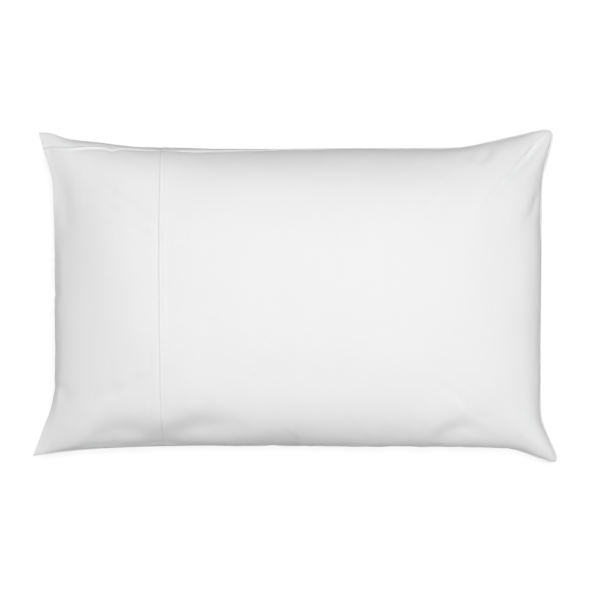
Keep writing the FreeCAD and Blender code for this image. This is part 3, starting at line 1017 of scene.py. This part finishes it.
INSERT_FORM = (insert_edges, 0.056, 0.077, 0.0545, 0.0, INSERT_REST)
insert_front, insert_back = form_grids(65, 97, *INSERT_FORM)
insert_front, insert_back = settle(
    insert_front, insert_back, INSERT_REST, TICKING_CUT, 2.0, 0.3, 20, 0.010
)
insert_loop = loop_round(insert_front, insert_back)
INSERT_ROWS = insert_front.shape[0] - 1
INSERT_COLUMNS = insert_front.shape[1] - 1
TICKING_CLOTH = 0.4 * MILLIMETRE
# The second colour is painted shade between the threads.
twill = woven_material("ticking_twill", (0.88, 0.875, 0.86), (0.76, 0.755, 0.74), 0.0006, twill=1.0,
                       slub=0.4, crumple=1.2, relief=0.2, sheen=0.15)


def finish_insert_piece(piece, material, slot, *nodes):
    """The pieces of the pillow inside take their material and ride on it; slot is not used."""
    piece.data.materials.append(material)
    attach(piece, "insert")
    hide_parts(*nodes)


def ticking_grid(side, inset, row_count, column_count, unevenness):
    """(points, normals, along, across) of one side of the ticking, inset from its outside."""
    s, t = np.meshgrid(np.linspace(0.0, 1.0, column_count), np.linspace(0.0, 1.0, row_count))
    row = t * INSERT_ROWS if side == "front" else 2 * INSERT_ROWS - t * INSERT_ROWS
    points = read_loop(insert_loop, row, s * INSERT_COLUMNS)
    normal = grid_normals(points)
    if side == "back":
        normal = -normal
    along = s * TICKING_CUT[0]
    across = t * TICKING_CUT[1]
    from_end = np.minimum(along, TICKING_CUT[0] - along)
    from_side = np.minimum(across, TICKING_CUT[1] - across)
    from_seam = np.minimum(from_end, from_side)
    seed = 90 if side == "front" else 120
    lift = 0.7 * MILLIMETRE * waves(along, across, 0.05, 0.12, 9, seed)
    ring = np.where(from_end < from_side, across, along)
    pucker = waves(ring, 0.0, 0.012, 0.030, 7, seed + 1)
    lift += 0.7 * MILLIMETRE * pucker * np.exp(-from_seam / 0.014)
    lift = (lift * unevenness - inset) * ramp(from_seam, 0.0, 0.006)
    return points + normal * lift[..., None], normal, along, across


for side, name in (("front", "ticking_top"), ("back", "ticking_bottom")):
    points, normal, along, across = ticking_grid(side, 0.0, 141, 209, 1.0)
    inner = points - normal * TICKING_CLOTH
    cloth = shell_between(f"{name}_cloth", points, inner, back=side == "back")
    map_flat(cloth, flat_places(along, across))
    finish_insert_piece(cloth, twill, "ticking_cotton", name)


# ------------------------ pillow inside: piping
# A 4 mm cotton cord in a bias strip of the same twill, caught in the seam all the way round.
PIPING_RADIUS = 2.0 * MILLIMETRE
PIPING_SIDES = 12
PIPING_POINTS = 560
# The second colour is painted shade between the threads.
piping_cloth = woven_material("bias_strip", (0.88, 0.875, 0.86), (0.74, 0.735, 0.72), 0.0006,
                              twill=1.0, slub=0.4, crumple=0.5, relief=0.2)
edge_line = np.concatenate([
    insert_front[0, :-1], insert_front[:-1, -1], insert_front[-1, :0:-1], insert_front[:0:-1, 0],
])
closed_line = np.concatenate([edge_line, edge_line[:1]])
line_length = running_length(closed_line)
at = np.linspace(0.0, line_length[-1], PIPING_POINTS, endpoint=False)
cord_line = np.stack([np.interp(at, line_length, closed_line[:, k]) for k in range(3)], axis=-1)
for _ in range(6):
    cord_line = 0.25 * (np.roll(cord_line, 1, 0) + 2.0 * cord_line + np.roll(cord_line, -1, 0))
cord_way = unit(np.roll(cord_line, -1, 0) - np.roll(cord_line, 1, 0))
outwards = unit(np.cross(cord_way, np.array([0.0, 0.0, 1.0])))
upwards = np.cross(outwards, cord_way)
around = 2.0 * np.pi * np.arange(PIPING_SIDES) / PIPING_SIDES
radius = PIPING_RADIUS * (1.0 + 0.06 * np.sin(at / 0.0021))[:, None, None]
tube = (cord_line + 0.8 * PIPING_RADIUS * outwards)[:, None] + radius * (
    np.cos(around)[:, None] * outwards[:, None] + np.sin(around)[:, None] * upwards[:, None]
)
numbers = np.arange(PIPING_POINTS * PIPING_SIDES).reshape(PIPING_POINTS, PIPING_SIDES)
numbers = np.concatenate([numbers, numbers[:1]])
numbers = np.concatenate([numbers, numbers[:, :1]], axis=1)
piping = mesh_object("piping_round_edge", tube, quads(numbers, flip=True))
piping_places = np.stack(np.meshgrid(at, around * PIPING_RADIUS, indexing="ij"), axis=-1)
map_flat(piping, piping_places)
finish_insert_piece(piping, piping_cloth, "piping_cord", "edge_piping")


# ------------------------ pillow inside: filling
# Loose crimped polyester fibre, blown in until the pillow is medium soft.
FILL_GAP = 1.6 * MILLIMETRE
FILL_EDGE = 0.4 * MILLIMETRE
fibre = bpy.data.materials.new("crimped_fibre")
fibre.use_nodes = True
fibre_shader = fibre.node_tree.nodes["Principled BSDF"]
fibre_shader.inputs["Roughness"].default_value = 0.95
fibre_shader.inputs["Sheen Weight"].default_value = 0.4
fibre_place = fibre.node_tree.nodes.new("ShaderNodeTexCoord")
fibre_tangle = fibre.node_tree.nodes.new("ShaderNodeTexNoise")
fibre_tangle.inputs["Scale"].default_value = 260.0
fibre_tangle.inputs["Detail"].default_value = 6.0
fibre_tangle.inputs["Distortion"].default_value = 2.5
# The tangle gives the fibre an uneven tone and also paints shade: the colour is darker where its
# bump dips.
fibre_shaded_colour = fibre.node_tree.nodes.new("ShaderNodeMix")
fibre_shaded_colour.data_type = "RGBA"
fibre_shaded_colour.inputs[6].default_value = (0.78, 0.78, 0.79, 1.0)
fibre_shaded_colour.inputs[7].default_value = (0.93, 0.93, 0.93, 1.0)
fibre_bump = fibre.node_tree.nodes.new("ShaderNodeBump")
fibre_bump.inputs["Distance"].default_value = 1.0 * MILLIMETRE
wire(fibre.node_tree,
     (fibre_place.outputs["Object"], fibre_tangle.inputs["Vector"]),
     (fibre_tangle.outputs["Fac"], fibre_shaded_colour.inputs["Factor"]),
     (fibre_shaded_colour.outputs[2], fibre_shader.inputs["Base Color"]),
     (fibre_tangle.outputs["Fac"], fibre_bump.inputs["Height"]),
     (fibre_bump.outputs["Normal"], fibre_shader.inputs["Normal"]))
fill_top = ticking_grid("front", FILL_GAP, 81, 121, 1.4)[0]
fill_bottom = ticking_grid("back", FILL_GAP, 81, 121, 1.4)[0]
fill_middle = 0.5 * (ticking_low + ticking_high)
shrink = 1.0 - 2.0 * FILL_GAP / (np.array(ticking_high[:2]) - np.array(ticking_low[:2]))
for sheet_points, edge in ((fill_top, FILL_EDGE), (fill_bottom, -FILL_EDGE)):
    sheet_points[..., :2] = fill_middle[:2] + (sheet_points[..., :2] - fill_middle[:2]) * shrink
    sheet_points[..., 2] += edge
filling = shell_between("polyester_filling", fill_top, fill_bottom)
finish_insert_piece(filling, fibre, "polyester_fibre", "fibre_fill")


# ------------------------ pillow inside: closing stitches
# The gap that the filling went in through is closed by hand beside the piping, at the mouth end.
CLOSING_REACH = 0.35
row = (0.5 + 0.5 * CLOSING_REACH * np.linspace(-1.0, 1.0, 240)[:, None]) * INSERT_ROWS
column = 0.45 + 0.12 * np.array([[-1.0, 0.0, 1.0]])
points = read_loop(insert_loop, np.broadcast_to(row, (240, 3)), np.broadcast_to(column, (240, 3)))
normal = grid_normals(points)
points = points + 0.9 * MILLIMETRE * normal
closing = thread_row("closing_stitches", points[:, 1], normal[:, 1])
finish_insert_piece(closing, thread, "sewing_thread", "closing_stitch")
